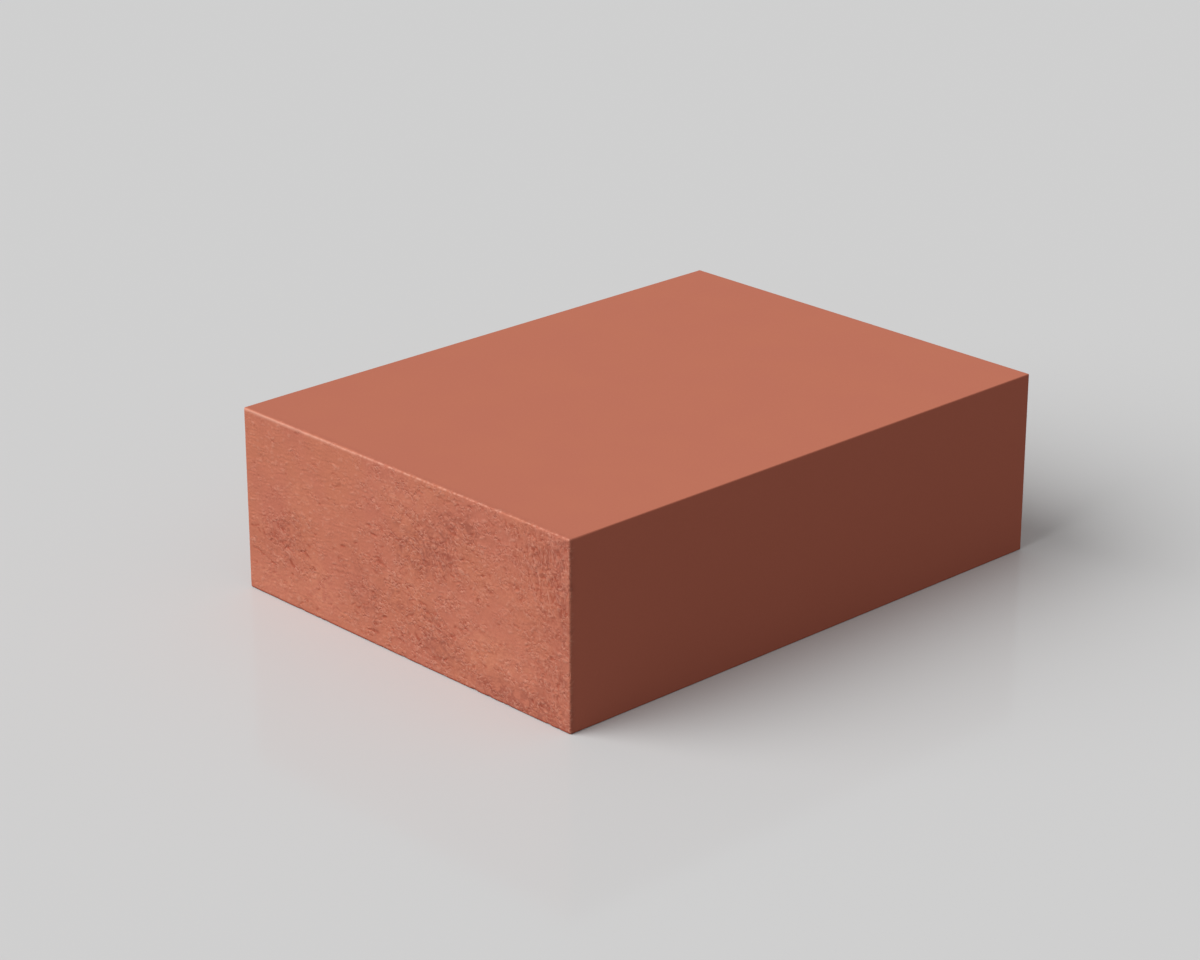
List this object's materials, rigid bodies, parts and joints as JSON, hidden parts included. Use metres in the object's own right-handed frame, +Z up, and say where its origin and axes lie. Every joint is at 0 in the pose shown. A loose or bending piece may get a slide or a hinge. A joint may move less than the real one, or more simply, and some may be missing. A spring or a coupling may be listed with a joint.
{
  "type": "brick",
  "caption": "Solid fired-clay brick with flat beds, slightly rounded arrises and a textured face on one end, for laying in mortar or standing on a flat surface.",
  "frame": {"origin": "middle of the lower bed, on the floor", "axes": "+Z up from the lower bed to the upper bed, +Y along the brick from the faced end to the plain end, +X across the faced end"},
  "size_m": [0.159, 0.215, 0.065],
  "materials": {
    "fired_clay": "matt unglazed red clay, plain on five faces and textured on the faced end"
  },
  "bodies": {
    "root": {"brick": "fired_clay"}
  },
  "joints": []
}
